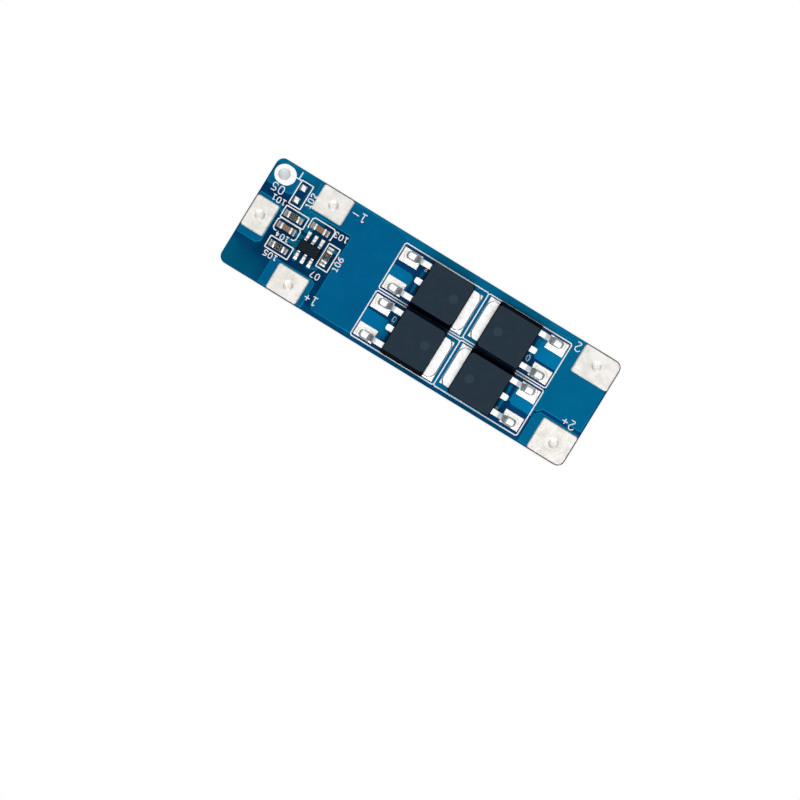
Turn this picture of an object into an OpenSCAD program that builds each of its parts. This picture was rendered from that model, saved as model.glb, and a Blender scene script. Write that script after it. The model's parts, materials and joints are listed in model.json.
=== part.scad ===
// Battery management board: a slim circuit board that guards a small pack of cells.
// Four power transistors, one controller chip, five chip parts and five nickel tabs.
// Origin: middle of the bottom face. +X runs to the battery end, +Y to the minus edge, +Z up.

/* [Board] */
// Length of the board
board_l = 50; // [49:0.5:56]
// Width of the board
board_w = 15.1; // [15:0.1:18]
// Thickness of the laminate
board_t = 1.0; // [0.6:0.1:2]
// Radius of the board's corners
board_corner_r = 1.0; // [0.5:0.1:1.5]
// Thickness of the masked copper
copper_t = 0.07; // [0.04:0.01:0.14]
// Distance from the end of the board to the large feed pour
feed_from_end = 12.9; // [12.7:0.1:13.5]
// How far the tinned pads stand above the masked copper
pad_rise = 0.02; // [0.01:0.01:0.06]
// Distance from the edge of the board to the copper
edge_gap = 0.3; // [0.2:0.05:0.5]
// Thickness of the printed ink
ink_t = 0.02; // [0.01:0.01:0.04]
// Width of the printed lines
ink_w = 0.15; // [0.1:0.01:0.25]

/* [Solder] */
// Thickness of the solder under leads, tabs and chips
solder_t = 0.05; // [0.02:0.01:0.1]
// Radius of the hollow fillet round a transistor's feet
lead_fillet_r = 0.24; // [0.1:0.02:0.4]
// Radius of the hollow fillet round a transistor's drain plate
plate_fillet_r = 0.14; // [0.06:0.02:0.2]
// Radius of the hollow fillet at the end of a chip part
chip_fillet_r = 0.36; // [0.2:0.02:0.42]

/* [Wire hole] */
// Radius of the hole
hole_r = 0.75; // [0.5:0.05:0.9]
// Thickness of the plating and its tinning in the hole
plating_t = 0.17; // [0.16:0.01:0.2]
// Distance from the end of the board to the middle of the hole
hole_from_end = 1.6; // [1.5:0.05:1.8]
// Distance from the long edge of the board to the middle of the hole
hole_from_edge = 1.75; // [1.6:0.05:2]
// Radius of the round ends of the tinned ring
ring_r = 1.28; // [1.15:0.02:1.3]
// How much longer than wide the ring is
ring_stretch = 0.32; // [0.1:0.02:0.4]

/* [Nickel tabs] */
// Thickness of a tab
tab_t = 0.3; // [0.15:0.05:0.6]
// Distance from the edge of the board to a tab
tab_edge_gap = 0.15; // [0.12:0.01:0.3]
// Radius of a tab's corners
tab_corner_r = 0.2; // [0.1:0.05:0.5]
// How far a tab's pad shows beyond it
tab_pad_margin = 0.09; // [0.04:0.01:0.1]
// Radius of the pressed dimple
dimple_r = 0.66; // [0.3:0.02:0.9]
// Depth of the pressed dimple
dimple_depth = 0.12; // [0.05:0.01:0.14]
// Length of the end tab, along the board
end_tab_l = 3.05; // [2.5:0.05:3.2]
// Width of the end tab, across the board
end_tab_w = 4.2; // [3:0.1:4.3]
// Distance from the end of the board to the pack tabs
pack_tab_from_end = 6.8; // [6.7:0.05:7.2]
// Length of the pack tabs, along the board
pack_tab_l = 4.2; // [3.5:0.05:4.3]
// Width of the pack tabs, across the board
pack_tab_w = 3.44; // [3:0.02:3.5]
// Length of the battery minus tab, along the board
battery_minus_tab_l = 5.1; // [4:0.1:5.2]
// Length of the battery plus tab, along the board
battery_plus_tab_l = 4.85; // [4:0.05:5]
// Width of the battery minus tab, across the board
battery_minus_tab_w = 3.8; // [3:0.1:4.5]
// Width of the battery plus tab, across the board
battery_plus_tab_w = 4.2; // [3.4:0.1:4.3]

/* [Transistors] */
// Distance from the battery end to the line between the two columns
bank_from_end = 18.92; // [18.6:0.02:20]
// Clear distance between facing drain plates
plate_gap = 1.16; // [1:0.02:1.4]
// Clear distance between the two bodies of a column
row_gap = 0.4; // [0.3:0.05:0.45]
// How far the bank's middle lies off the board's middle
bank_y = -0.25; // [-0.25:0.025:0]
// How much further up the right column sits than the left one
bank_stagger = 0.15; // [0:0.03:0.24]
// Length of the body, along the board
fet_l = 6.1; // [5.8:0.05:6.2]
// Width of the body, across the board
fet_w = 6.4; // [6.2:0.05:6.45]
// Height of the body
fet_h = 2.3; // [2.1:0.05:2.5]
// Height of the body's underside above its drain plate's underside
fet_standoff = 0.05; // [0.02:0.01:0.1]
// How far the drain plate reaches from the middle of the body
plate_reach = 4.26; // [4.1:0.02:4.3]
// Width of the drain plate
plate_w = 5.35; // [5:0.05:5.5]
// Thickness of the drain plate
plate_t = 0.5; // [0.4:0.05:0.6]
// Width of a lead
lead_w = 0.78; // [0.6:0.02:0.9]
// Thickness of a lead
lead_t = 0.45; // [0.35:0.05:0.5]
// Distance between neighbouring leads
lead_pitch = 2.3; // [2.2:0.02:2.35]
// How far the lead tips reach from the middle of the body
lead_reach = 6.25; // [6.1:0.05:6.5]
// Length of a lead's foot
foot_l = 0.9; // [0.7:0.05:1]
// Height of a lead's underside where it leaves the body
lead_exit = 0.9; // [0.8:0.05:1]
// How far the cut centre lead stands out of the body
stub_l = 0.9; // [0.5:0.05:1.15]
// Radius of the ejector mark on the top
ejector_r = 0.6; // [0.4:0.05:0.8]

/* [Controller] */
// Distance from the end of the board to the controller's middle
controller_from_end = 9.13; // [9.05:0.02:9.2]
// Distance from the board's middle line to the controller's middle
controller_y = -0.65; // [-0.7:0.025:-0.5]
// Length of the body, across its leads
controller_l = 2.85; // [2.7:0.05:3]
// Width of the body, along its leads
controller_w = 1.55; // [1.4:0.05:1.7]
// Height of the body
controller_h = 1.1; // [0.9:0.05:1.3]
// Distance between neighbouring pins
pin_pitch = 0.965; // [0.93:0.005:1]
// Width of a pin
pin_w = 0.4; // [0.3:0.02:0.44]
// Thickness of a pin
pin_t = 0.15; // [0.1:0.01:0.18]
// How far the pin tips reach from the middle of the body
pin_reach = 1.42; // [1.35:0.01:1.5]

/* [Chip parts] */
// Length of a chip part
chip_l = 1.6; // [1.4:0.05:1.7]
// Width of a chip part
chip_w = 0.8; // [0.7:0.02:0.85]
// Height of a chip resistor
resistor_h = 0.45; // [0.43:0.01:0.6]
// Height of a chip capacitor
capacitor_h = 0.75; // [0.6:0.05:0.9]
// Length of the metal at each end of a chip part
terminal_l = 0.28; // [0.2:0.01:0.4]
// Thickness of that metal
terminal_t = 0.04; // [0.02:0.01:0.06]

/* [Hidden] */
$fn = 48;
FETS = [0:3];
RESISTORS = [0:2];
CAPACITORS = [0:1];
TABS = ["end", "pack_minus", "pack_plus", "battery_minus", "battery_plus"];
FET_PIECES = ["body", "drain_plate", "gate_lead", "source_lead", "pads", "solder"];
RESISTOR_PIECES = ["body", "glaze", "terminals"];
CAPACITOR_PIECES = ["body", "terminals"];

// Levels
eps = 0.01;
core_z = copper_t;
top_z = core_z + board_t;
pad_t = copper_t + pad_rise;
solder_z = top_z + pad_t;
seat_z = solder_z + solder_t;

// The board's edges
least_corner_r = 0.2;
left_x = -board_l / 2;
right_x = board_l / 2;
minus_y = board_w / 2;
plus_y = -board_w / 2;

// Transistor bank
bank_x = right_x - bank_from_end;
row_pitch = fet_w + row_gap;
left_column_x = bank_x - plate_gap / 2 - plate_reach;
right_column_x = bank_x + plate_gap / 2 + plate_reach;
plate_pad_margin = 0.18;
plate_pad_extra_w = 0.35;
plate_pad_shift = -0.15;
plate_inner_x = -1.9;
plate_corner = [0.42, 0.72];
lead_pad_l = 2.65;
lead_pad_w = 1.85;
lead_pad_over = 0.82;
lead_pad_inset = 0.3;
lead_pad_y = lead_pitch - lead_pad_inset;
pad_corner_r = 0.08;
lead_inside = 0.9;
lead_bend_r = 0.2;
lead_slope = 60;
top_draft = 0.15;
gate_draft = 0.1;
source_draft = 0.52;
base_draft = 0.12;
fet_corner_r = 0.12;
ejector_depth = 0.04;
ejector_place = [1.42, 0.37];
riser_inset = 0.2;
lead_pool = 0.12;
heel_pool = 0.1;

// Controller and chip parts
controller_x = left_x + controller_from_end;
controller_standoff = 0.05;
controller_draft = 0.1;
pin_exit = 0.5;
pin_foot_l = 0.3;
pin_bend_r = 0.06;
pin_slope = 78;
pin_inside = 0.3;
pin_pad_w = 0.54;
pin_pad_corner_r = 0.06;
pin_pad_gap = 0.12;
pin_pad_over = 0.58;
pin_pad_inner = controller_w / 2 + pin_pad_gap;
pin_pad_outer = pin_reach + pin_pad_over;
toe_fillet_r = 0.24;
chip_pad_over = 0.5;
chip_pad_under = 0.35;
chip_pad_w = chip_w + 0.06;
glaze_t = 0.03;
glaze_margin = 0.03;
// Each place: distance from the end of the board, distance from the middle line, turn
resistor_places = [[5.39, 1.8, 0], [5.7, -2.38, 0], [11.49, -0.28, 90]];
capacitor_places = [[5.35, 0.15, 0], [9.02, 2.2, 0]];
spare_place = [4.58, 4.66, 90];
// How far each printed frame lies off the part in it
resistor_frame_shifts = [[0.11, 0.05], [0.09, 0.03], [0.18, 0]];
capacitor_frame_shifts = [[0.1, -0.06], [0.13, 0.14]];
spare_frame_shift = [0.15, 0];
spare_pad_w = 0.85;
spare_dome_h = 0.22;
spare_dome_edge = 0.03;
all_chip_places = concat(resistor_places, capacitor_places);

// ---------------------------------------------------------------- outlines

module box2d(x0, x1, y0, y1) {
    translate([x0, y0]) square([x1 - x0, y1 - y0]);
}

module round_box2d(x0, x1, y0, y1, r) {
    box2d(x0 + r, x1 - r, y0, y1);
    box2d(x0, x1, y0 + r, y1 - r);
    for (x = [x0 + r, x1 - r], y = [y0 + r, y1 - r]) translate([x, y]) circle(r);
}

module board_outline(inset = 0) {
    round_box2d(left_x + inset, right_x - inset, plus_y + inset, minus_y - inset,
        max(board_corner_r - inset, least_corner_r));
}

// A polygon whose points are [x, y, size]; each corner is rounded off over that size.
module soft_polygon(points, steps = 5) {
    n = len(points);
    function xy(p) = [p[0], p[1]];
    function toward(a, b, d) = a + (b - a) * d / norm(b - a);
    polygon([for (i = [0:n - 1])
        let (p = xy(points[i]), size = points[i][2],
            before = xy(points[(i + n - 1) % n]), after = xy(points[(i + 1) % n]))
        if (size == 0) p
        else let (a = toward(p, before, size), b = toward(p, after, size))
            for (s = [0:steps]) let (t = s / steps)
                a * (1 - t) * (1 - t) + p * 2 * t * (1 - t) + b * t * t]);
}

// A line of one width along a list of points, with round ends and joints.
module stroke(points, w) {
    for (i = [0:len(points) - 2]) {
        run = points[i + 1] - points[i];
        translate(points[i]) rotate(atan2(run[1], run[0]))
            translate([0, -w / 2]) square([norm(run), w]);
    }
    for (p = points) translate(p) circle(w / 2);
}

// A rectangle drawn as a line, with its corners cut across.
module frame2d(x0, x1, y0, y1, cut, w = ink_w) {
    stroke([[x0 + cut, y0], [x1 - cut, y0], [x1, y0 + cut], [x1, y1 - cut], [x1 - cut, y1],
        [x0 + cut, y1], [x0, y1 - cut], [x0, y0 + cut], [x0 + cut, y0]], w);
}

// ---------------------------------------------------------------- placing

function column(i) = floor(i / 2);
function column_y(col) = bank_y + (col == 0 ? -1 : 1) * bank_stagger / 2;
function row_y(i) = column_y(column(i)) + (i % 2 == 0 ? 1 : -1) * row_pitch / 2;
function column_x(col) = col == 0 ? left_column_x : right_column_x;

// Puts its children on a transistor's footprint, with its leads toward -X before turning.
module at_footprint(i) {
    translate([column_x(column(i)), row_y(i)]) rotate(column(i) * 180) children();
}

module at_transistor(i) {
    translate([0, 0, seat_z]) at_footprint(i) children();
}

module at_controller() {
    translate([controller_x, controller_y]) children();
}

// The six pins of the controller, each pointing to -Y before turning.
module at_pins() {
    for (side = [0, 180], k = [-1:1]) rotate(side) translate([k * pin_pitch, 0]) children();
}

module at_chip(place) {
    translate([left_x + place[0], place[1]]) rotate(place[2]) children();
}

// ---------------------------------------------------------------- pads

module lead_pads2d() {
    reach = lead_reach + lead_pad_over;
    for (side = [-1, 1])
        round_box2d(-reach, lead_pad_l - reach, side * lead_pad_y - lead_pad_w / 2,
            side * lead_pad_y + lead_pad_w / 2, pad_corner_r);
}

module plate_pad2d() {
    half = (plate_w + plate_pad_extra_w) / 2;
    translate([0, plate_pad_shift])
        round_box2d(plate_inner_x, plate_reach + plate_pad_margin, -half, half, pad_corner_r);
}

module fet_pads2d() {
    lead_pads2d();
    plate_pad2d();
}

module pin_pads2d() {
    at_pins() round_box2d(-pin_pad_w / 2, pin_pad_w / 2, -pin_pad_outer, -pin_pad_inner, pin_pad_corner_r);
}

module chip_pads2d() {
    for (side = [0, 180]) rotate(side)
        box2d(chip_l / 2 - chip_pad_under, chip_l / 2 + chip_pad_over, -chip_pad_w / 2, chip_pad_w / 2);
}

module spare_pads2d() {
    for (side = [-1, 1]) translate([side * spare_pad_w, 0]) square(spare_pad_w, center = true);
}

module signal_pads2d() {
    at_controller() pin_pads2d();
    for (place = all_chip_places) at_chip(place) chip_pads2d();
    at_chip(spare_place) spare_pads2d();
}

module ring2d() {
    translate([left_x + hole_from_end, minus_y - hole_from_edge]) {
        for (side = [0, 1]) translate([side * ring_stretch, 0]) circle(ring_r);
        box2d(0, ring_stretch, -ring_r, ring_r);
    }
}

module all_pads2d() {
    signal_pads2d();
    for (i = FETS) at_footprint(i) fet_pads2d();
    for (i = [0:len(TABS) - 1]) tab_pad2d(i);
    ring2d();
}

// ---------------------------------------------------------------- nickel tabs

// A tab's box: [x0, x1, y0, y1]
end_tab_y = -0.15;
pack_tab_x = left_x + pack_tab_from_end;
pack_tab_offset = 0.14;
tab_boxes = [
    [left_x + tab_edge_gap, left_x + tab_edge_gap + end_tab_l,
        end_tab_y - end_tab_w / 2, end_tab_y + end_tab_w / 2],
    [pack_tab_x - pack_tab_offset, pack_tab_x - pack_tab_offset + pack_tab_l,
        minus_y - tab_edge_gap - pack_tab_w, minus_y - tab_edge_gap],
    [pack_tab_x + pack_tab_offset, pack_tab_x + pack_tab_offset + pack_tab_l,
        plus_y + tab_edge_gap, plus_y + tab_edge_gap + pack_tab_w],
    [right_x - tab_edge_gap - battery_minus_tab_l, right_x - tab_edge_gap,
        minus_y - tab_edge_gap - battery_minus_tab_w, minus_y - tab_edge_gap],
    [right_x - tab_edge_gap - battery_plus_tab_l, right_x - tab_edge_gap,
        plus_y + tab_edge_gap, plus_y + tab_edge_gap + battery_plus_tab_w]];

// How far each tab's dimple was pressed off its middle
dimple_shifts = [[0, 0], [0.1, -0.06], [0.2, -0.14], [-0.1, 0.15], [0.2, 0]];

module tab2d(i, grow = 0) {
    b = tab_boxes[i];
    intersection() {
        round_box2d(b[0] - grow, b[1] + grow, b[2] - grow, b[3] + grow, tab_corner_r + grow);
        board_outline(tab_edge_gap - grow);
    }
}

module tab_pad2d(i) {
    tab2d(i, tab_pad_margin);
}

module nickel_tab(i) {
    b = tab_boxes[i];
    middle = [(b[0] + b[1]) / 2, (b[2] + b[3]) / 2] + dimple_shifts[i];
    ball_r = (dimple_r * dimple_r + dimple_depth * dimple_depth) / (2 * dimple_depth);
    color([0.87, 0.86, 0.84]) difference() {
        translate([0, 0, seat_z]) linear_extrude(tab_t) tab2d(i);
        translate([middle[0], middle[1], seat_z + tab_t - dimple_depth + ball_r])
            sphere(ball_r, $fn = 96);
    }
}

module nickel_tab_pad(i) {
    color([0.55, 0.47, 0.38]) translate([0, 0, top_z]) linear_extrude(pad_t + solder_t) tab_pad2d(i);
}

// ---------------------------------------------------------------- board

pour_top = minus_y - edge_gap;
pour_bottom = plus_y + edge_gap;
pour_left = left_x + edge_gap;
pour_right = right_x - edge_gap;
pour_gap = 0.65;
pour_cut = 0.45;
pour_round = 0.6;

// How far each pour shows past its tab
end_pour_show = [0.12, 0.95, 0.45];
end_pour_round = 0.1;
feed_pour_show = 0.4;
pack_plus_show = [1.15, 0.7, 0.2];
battery_plus_show = 0.25;
hole_pour_show = 0.48;

bank_pour_rise = 0.45;
bank_pour_gap = 0.25;
output_pour_gap = 0.4;
drain_pour_show = [0.15, 0.05];
output_step = [0.4, 0.45, 0.6];
output_shelf = [3.7, 0.4];
battery_plus_inset = 0.35;
feed_x = left_x + feed_from_end;
bank_pour_y0 = pour_bottom + bank_pour_rise;
bank_pour_x1 = left_column_x - lead_reach - lead_pad_over - bank_pour_gap;
output_pour_x0 = right_column_x + lead_reach + lead_pad_over + output_pour_gap;
drain_pour_y0 = column_y(0) - row_pitch / 2 - fet_w / 2 + drain_pour_show[0];
drain_pour_y1 = column_y(0) + row_pitch / 2 + fet_w / 2 + drain_pour_show[1];

// The end pour under the end tab
module end_pour2d() {
    b = tab_boxes[0];
    side = b[1] + end_pour_show[0];
    low = b[2] - end_pour_show[1];
    high = b[3] + end_pour_show[2];
    soft_polygon([[pour_left, low, 0], [side - pour_cut, low, 0], [side, low + pour_cut, 0],
        [side, high, end_pour_round], [pour_left, high, 0]]);
}

// The pour round the wire hole
module hole_pour2d() {
    low = minus_y - hole_from_edge - ring_r - hole_pour_show;
    side = left_x + hole_from_end + ring_stretch + ring_r + hole_pour_show;
    soft_polygon([[pour_left, low, 0], [side, low, pour_round], [side, pour_top, 0],
        [pour_left + board_corner_r, pour_top, 0], [pour_left, pour_top - board_corner_r, 0]]);
}

// Pack minus and the feed of the left column, in one piece
module feed_pour2d() {
    b = tab_boxes[1];
    low = b[2] - feed_pour_show;
    side = b[0] - feed_pour_show;
    soft_polygon([[side, low, pour_round / 2], [feed_x, low, pour_round],
        [feed_x, bank_pour_y0 + pour_cut, 0], [feed_x + pour_cut, bank_pour_y0, 0],
        [bank_pour_x1, bank_pour_y0, 0], [bank_pour_x1, pour_top - pour_cut, 0],
        [bank_pour_x1 - pour_cut, pour_top, 0], [side, pour_top, 0]]);
}

module pack_plus_pour2d() {
    b = tab_boxes[2];
    x0 = b[0] - pack_plus_show[0];
    x1 = b[1] + pack_plus_show[1];
    high = b[3] + pack_plus_show[2];
    soft_polygon([[x0, pour_bottom, 0], [x1, pour_bottom, 0], [x1, high, pour_round], [x0, high, 0]]);
}

// The common drain pour under all four transistors
module drain_pour2d() {
    box2d(left_column_x + plate_inner_x, right_column_x - plate_inner_x, drain_pour_y0, drain_pour_y1);
}

module battery_minus_pour2d() {
    low = tab_boxes[4][3] + battery_plus_show + pour_gap;
    x0 = output_pour_x0;
    x1 = x0 + output_step[0];
    shelf_x = x0 - output_shelf[0];
    shelf_y = pour_top - output_shelf[1];
    soft_polygon([[x0, low - output_step[2], 0], [x1, low - output_step[2], 0],
        [x1 + output_step[1], low, 0], [pour_right, low, 0], [pour_right, pour_top, 0],
        [shelf_x, pour_top, 0], [shelf_x, shelf_y, 0], [x0, shelf_y, 0]]);
}

module battery_plus_pour2d() {
    high = tab_boxes[4][3] + battery_plus_show;
    x0 = output_pour_x0 + battery_plus_inset;
    soft_polygon([[x0, pour_bottom, 0], [pour_right, pour_bottom, 0], [pour_right, high, 0],
        [x0 + pour_round, high, 0], [x0, high - pour_round, 0]]);
}

module top_pours2d() {
    intersection() {
        union() {
            end_pour2d();
            hole_pour2d();
            feed_pour2d();
            pack_plus_pour2d();
            drain_pour2d();
            battery_minus_pour2d();
            battery_plus_pour2d();
        }
        board_outline(edge_gap);
    }
}

// The link beside a transistor's lead pads, which joins its source to the pour outside the bank.
// It is wide on the second and third transistors and narrow on the others.
link_reach = [2.0, 2.45];
link_high = [0.26, 0.65];
link_cut = [0.4, 0.35];
link_under = 0.1;

module lead_link2d(i) {
    kind = i == 1 || i == 2 ? 1 : 0;
    outer = -lead_reach - lead_pad_over - (column(i) == 0 ? bank_pour_gap : output_pour_gap);
    inner = -lead_reach + link_reach[kind];
    high = link_high[kind];
    low = -lead_pad_y + link_under;
    soft_polygon([[outer, low, 0], [inner, low, 0], [inner, high - link_cut[1], 0],
        [inner - link_cut[0], high, 0], [outer, high, 0]]);
}

// The narrow track that runs under a transistor's cut lead
gate_track_in = 2.75;
gate_track_half = 1.55;

module gate_track2d() {
    x = gate_track_in - lead_reach;
    stroke([[x, -gate_track_half], [x, gate_track_half]], track_w);
}

// Narrow tracks, between the ends of the chip parts and the pins of the controller.
// Points are measured from the end of the board and from its middle line.
track_w = 0.25;
wide_track_w = 0.42;
chip_mid = chip_l / 2 + chip_pad_over / 2;
function chip_end(place, side) =
    [place[0] + side * chip_mid * cos(place[2]), place[1] + side * chip_mid * sin(place[2])];
function from_controller(x, y) = [controller_from_end + x, controller_y + y];
function pin_end(k, side) = from_controller(k * pin_pitch, side * pin_pad_outer);
first_chip = chip_end(resistor_places[0], 1);
tracks = [
    [track_w, [chip_end(resistor_places[0], -1), chip_end(resistor_places[0], -1) - [1, 0]]],
    [wide_track_w, [first_chip + [0, 0.4], first_chip + [0.1, 1.1], first_chip + [0.45, 1.35],
        first_chip + [1.1, 1.35], chip_end(capacitor_places[1], -1)]],
    [track_w, [chip_end(capacitor_places[1], -1), pin_end(-1, 1)]],
    [track_w, [from_controller(-1.8, 2.3), from_controller(-1.6, 1.8), pin_end(-1, 1)]],
    [wide_track_w, [chip_end(capacitor_places[0], 1), from_controller(-1.3, 0.85)]],
    [track_w, [from_controller(-3.9, -0.35), from_controller(-2.5, -0.38), from_controller(-2.2, -0.25),
        from_controller(-1.85, 0.1), from_controller(-1.3, 0.25)]],
    [track_w, [from_controller(-1.3, -0.28), from_controller(-1.65, -0.33), from_controller(-1.85, -0.6),
        from_controller(-1.75, -0.9), from_controller(-1.45, -1.05), pin_end(-1, -1)]],
    [track_w, [chip_end(resistor_places[2], 1), [feed_from_end, chip_end(resistor_places[2], 1)[1]]]],
    [track_w, [pin_end(1, -1), chip_end(resistor_places[2], -1) + [-0.4, -0.8],
        chip_end(resistor_places[2], -1)]]];

module tracks2d() {
    for (i = FETS) at_footprint(i) {
        lead_link2d(i);
        gate_track2d();
    }
    for (track = tracks)
        stroke([for (p = track[1]) [left_x + p[0], p[1]]], track[0]);
}

module laminate() {
    color([0.0, 0.27, 0.41]) difference() {
        translate([0, 0, core_z]) linear_extrude(board_t) board_outline();
        translate([left_x + hole_from_end, minus_y - hole_from_edge, core_z - eps])
            cylinder(r = hole_r + plating_t, h = board_t + 2 * eps);
    }
}

module top_pours() {
    color([0.0, 0.37, 0.55]) translate([0, 0, top_z]) linear_extrude(copper_t) difference() {
        top_pours2d();
        all_pads2d();
    }
}

module masked_tracks() {
    color([0.0, 0.45, 0.65]) translate([0, 0, top_z]) linear_extrude(copper_t) difference() {
        tracks2d();
        top_pours2d();
        all_pads2d();
    }
}

// The bottom carries pack plus to battery plus, and the drains' spread, on two long pours
bottom_split = 0.4;
bottom_clearance = 0.4;

module bottom_pours() {
    color([0.0, 0.37, 0.55]) linear_extrude(copper_t) difference() {
        board_outline(edge_gap);
        box2d(left_x, right_x, -bottom_split / 2, bottom_split / 2);
        translate([left_x + hole_from_end, minus_y - hole_from_edge])
            circle(ring_r + ring_stretch + bottom_clearance);
    }
}

module wire_hole_plating() {
    color([0.93, 0.93, 0.92]) difference() {
        union() {
            linear_extrude(core_z) ring2d();
            translate([0, 0, top_z]) linear_extrude(pad_t) ring2d();
            translate([left_x + hole_from_end, minus_y - hole_from_edge, 0])
                cylinder(r = hole_r + plating_t, h = top_z + pad_t);
        }
        translate([left_x + hole_from_end, minus_y - hole_from_edge, -eps])
            cylinder(r = hole_r, h = top_z + pad_t + 2 * eps);
    }
}

module signal_pads() {
    color([0.8, 0.8, 0.78]) translate([0, 0, top_z]) linear_extrude(pad_t) signal_pads2d();
}

// ---------------------------------------------------------------- leads

// A bar of metal bent along its length. It starts at the origin, runs to -X and is centred on Y.
// steps is a list of [length, bend]; a positive bend turns the bar down, a negative one up.
module bent_bar(steps, w, t, r, i = 0) {
    if (i < len(steps)) {
        run = steps[i][0];
        bend = steps[i][1];
        translate([-run, -w / 2, 0]) cube([run, w, t]);
        translate([-run, 0, 0]) {
            if (bend > 0) {
                translate([0, w / 2, -r]) rotate([90, 0, 0])
                    rotate_extrude(angle = bend, start = 90) translate([r, 0]) square([t, w]);
                translate([0, 0, -r]) rotate([0, -bend, 0]) translate([0, 0, r])
                    bent_bar(steps, w, t, r, i + 1);
            }
            if (bend < 0) {
                translate([0, w / 2, t + r]) rotate([90, 0, 0])
                    rotate_extrude(angle = -bend, start = 270 + bend) translate([r, 0]) square([t, w]);
                translate([0, 0, t + r]) rotate([0, -bend, 0]) translate([0, 0, -t - r])
                    bent_bar(steps, w, t, r, i + 1);
            }
        }
    }
}

// A gull-wing lead: level out of the body, down the slope, level foot.
// reach, edge and inside are measured from the middle of the package.
module gull_lead(reach, edge, inside, exit, foot, w, t, r, slope) {
    mid_r = r + t / 2;
    drop = exit - 2 * mid_r * (1 - cos(slope));
    slant = drop / sin(slope);
    run = 2 * mid_r * sin(slope) + slant * cos(slope);
    level = reach - foot - run - edge + inside;
    translate([inside - edge, 0, exit]) bent_bar([[level, slope], [slant, -slope], [foot, 0]], w, t, r);
}

// A hollow fillet along +Y on the -X side of the origin
module fillet_bar(l, r) {
    translate([0, l, 0]) rotate([90, 0, 0]) linear_extrude(l) fillet2d(r);
}

module fillet2d(r) {
    difference() {
        translate([-r, 0]) square(r);
        translate([-r, r]) circle(r);
    }
}

// A hollow fillet on the left of a path that turns right at each of its corners
module fillet_path(points, r) {
    last = len(points) - 2;
    function heading(i) = atan2(points[i + 1][1] - points[i][1], points[i + 1][0] - points[i][0]);
    for (i = [0:last]) translate(points[i]) rotate(heading(i) - 90)
        fillet_bar(norm(points[i + 1] - points[i]), r);
    for (i = [1:last]) {
        turn = (heading(i - 1) - heading(i) + 360) % 360;
        translate(points[i]) rotate_extrude(angle = turn, start = heading(i) + 90) difference() {
            square(r);
            translate([r, r]) circle(r);
        }
    }
}

// ---------------------------------------------------------------- transistors

fet_lead_edge = fet_l / 2;

module fet_lead(side) {
    translate([0, side * lead_pitch, 0])
        gull_lead(lead_reach, fet_lead_edge, lead_inside, lead_exit, foot_l, lead_w, lead_t,
            lead_bend_r, lead_slope);
}

module plate2d() {
    half = plate_w / 2;
    cx = plate_corner[0];
    cy = plate_corner[1];
    polygon([[plate_inner_x, -half], [plate_reach - cx, -half], [plate_reach, -half + cy],
        [plate_reach, half - cy], [plate_reach - cx, half], [plate_inner_x, half]]);
}

// The drain plate, the riser inside the body and the cut centre lead, stamped from one strip
module fet_drain_frame() {
    linear_extrude(plate_t) plate2d();
    riser_x = plate_inner_x + riser_inset;
    translate([riser_x, -lead_w / 2, 0]) cube([lead_t, lead_w, lead_exit + lead_t]);
    translate([-fet_lead_edge - stub_l, -lead_w / 2, lead_exit])
        cube([fet_lead_edge + stub_l + riser_x + lead_t, lead_w, lead_t]);
}

// The moulding: two tapered halves that meet where the leads leave it
module fet_moulding() {
    part_z = lead_exit + lead_t / 2;
    half_l = fet_l / 2;
    half_w = fet_w / 2;
    intersection() {
        translate([0, half_w + 1, 0]) rotate([90, 0, 0]) linear_extrude(fet_w + 2)
            polygon([[-half_l + base_draft, fet_standoff], [half_l - base_draft, fet_standoff],
                [half_l, part_z], [half_l - top_draft, fet_h], [-half_l + top_draft, fet_h],
                [-half_l, part_z]]);
        translate([-half_l - 1, 0, 0]) rotate([90, 0, 90]) linear_extrude(fet_l + 2)
            polygon([[-half_w + base_draft, fet_standoff], [half_w - base_draft, fet_standoff],
                [half_w, part_z], [half_w - gate_draft, fet_h], [-half_w + source_draft, fet_h],
                [-half_w, part_z]]);
        linear_extrude(fet_h + 1) round_box2d(-half_l, half_l, -half_w, half_w, fet_corner_r);
    }
}

module transistor_body(i) {
    color([0.15, 0.2, 0.24]) at_transistor(i) difference() {
        fet_moulding();
        fet_drain_frame();
        fet_lead(1);
        fet_lead(-1);
        translate([ejector_place[0], ejector_place[1], fet_h - ejector_depth])
            cylinder(r = ejector_r, h = ejector_depth + eps);
    }
}

module transistor_drain_plate(i) {
    color([0.9, 0.9, 0.9]) at_transistor(i) fet_drain_frame();
}

module transistor_lead(i, side) {
    color([0.9, 0.9, 0.9]) at_transistor(i) fet_lead(side);
}

module transistor_pads(i) {
    color([0.88, 0.88, 0.87]) translate([0, 0, top_z]) linear_extrude(pad_t) at_footprint(i) fet_pads2d();
}

// Solder round one foot: a thin pool on the pad and a hollow fillet round the toe and sides
module fet_foot_solder(side) {
    tip = -lead_reach;
    heel = -lead_reach + foot_l;
    half = lead_w / 2;
    pool = lead_fillet_r + lead_pool;
    translate([0, side * lead_pitch, 0]) {
        translate([0, 0, -solder_t]) linear_extrude(solder_t)
            round_box2d(tip - pool, heel + heel_pool, -half - pool, half + pool, pool);
        fillet_path([[heel, -half], [tip, -half], [tip, half], [heel, half]], lead_fillet_r);
    }
}

// Solder round the plate: a film under it and a fillet round the edges that stand out of the body
module fet_plate_solder() {
    half = plate_w / 2;
    start_x = fet_l / 2 + base_draft;
    corner_x = plate_reach - plate_corner[0];
    corner_y = half - plate_corner[1];
    translate([0, 0, -solder_t]) linear_extrude(solder_t)
        box2d(plate_inner_x, plate_reach + plate_fillet_r, -half - plate_fillet_r, half + plate_fillet_r);
    fillet_path([[start_x, half], [corner_x, half], [plate_reach, corner_y], [plate_reach, -corner_y],
        [corner_x, -half], [start_x, -half]], plate_fillet_r);
}

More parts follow.
